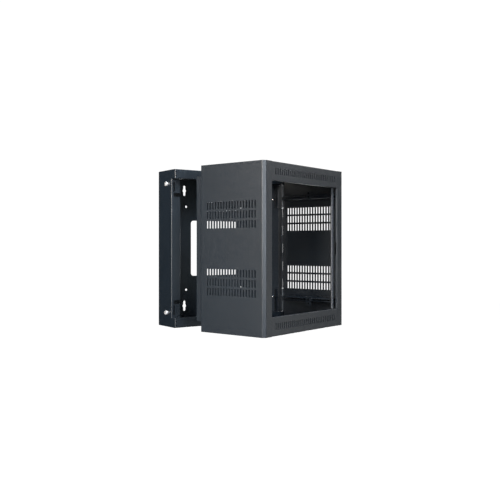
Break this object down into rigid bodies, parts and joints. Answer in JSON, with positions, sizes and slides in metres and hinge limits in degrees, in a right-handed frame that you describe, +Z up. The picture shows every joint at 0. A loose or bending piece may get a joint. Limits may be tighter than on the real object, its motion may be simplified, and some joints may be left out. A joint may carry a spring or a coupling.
{
  "type": "wall mount rack",
  "caption": "Swing-out wall rack in folded black sheet steel: a shallow wall section with a cable opening carries a hinged, vented cabinet with equipment rails and keyed cam locks.",
  "frame": {"origin": "middle of the mounting face, on the plane of the wall and at the centre of the cable opening", "axes": "+Z up, +Y into the wall so that the front faces -Y, +X to the right seen from the front"},
  "size_m": [0.6852, 0.6344, 0.6858],
  "materials": {
    "powder_coat": "fine texture powder coat",
    "zinc_plate": "zinc plated",
    "black_oxide": "black oxide",
    "lock_chrome": "polished"
  },
  "bodies": {
    "wall_section": {"back_pan": "powder_coat", "wall_left_channel": "powder_coat", "wall_right_channel": "powder_coat", "wall_top_rail": "powder_coat", "wall_bottom_rail": "powder_coat", "rail_rivets": "black_oxide", "hinge_wall_leaf": "powder_coat", "hinge_pin": "zinc_plate", "hinge_leaf_screws": "zinc_plate", "hinge_leaf_nuts": "zinc_plate", "upper_lock_housing": "lock_chrome", "lower_lock_housing": "lock_chrome", "upper_lock_nut": "zinc_plate", "lower_lock_nut": "zinc_plate"},
    "center_section": {"center_left_panel": "powder_coat", "center_right_panel": "powder_coat", "center_top_panel": "powder_coat", "center_bottom_panel": "powder_coat", "right_rack_rail": "zinc_plate", "left_rack_rail": "zinc_plate", "hinge_center_leaf": "powder_coat", "hinge_rivets": "powder_coat", "rail_screws": "black_oxide", "rail_nuts": "black_oxide", "clip_screws": "black_oxide", "clip_nuts": "black_oxide", "right_upper_brace": "powder_coat", "right_upper_clip": "powder_coat", "right_lower_brace": "powder_coat", "right_lower_clip": "powder_coat", "left_upper_brace": "powder_coat", "left_upper_clip": "powder_coat", "left_lower_brace": "powder_coat", "left_lower_clip": "powder_coat"},
    "upper_lock": {"upper_lock_plug": "lock_chrome", "upper_lock_cam": "zinc_plate", "upper_cam_screw": "zinc_plate"},
    "lower_lock": {"lower_lock_plug": "lock_chrome", "lower_lock_cam": "zinc_plate", "lower_cam_screw": "zinc_plate"}
  },
  "joints": [
    {"name": "center_swing", "type": "hinge", "parent": "wall_section", "child": "center_section", "pos_m": [0.2881, -0.1494, 0], "axis": [0, 0, 1], "range_deg": [-17, 83]},
    {"name": "upper_lock_turn", "type": "hinge", "parent": "wall_section", "child": "upper_lock", "pos_m": [-0.2921, -0.0762, 0.2824], "axis": [1, 0, 0], "range_deg": [-41, 49]},
    {"name": "lower_lock_turn", "type": "hinge", "parent": "wall_section", "child": "lower_lock", "pos_m": [-0.2921, -0.0762, -0.2824], "axis": [1, 0, 0], "range_deg": [0, 90]}
  ]
}
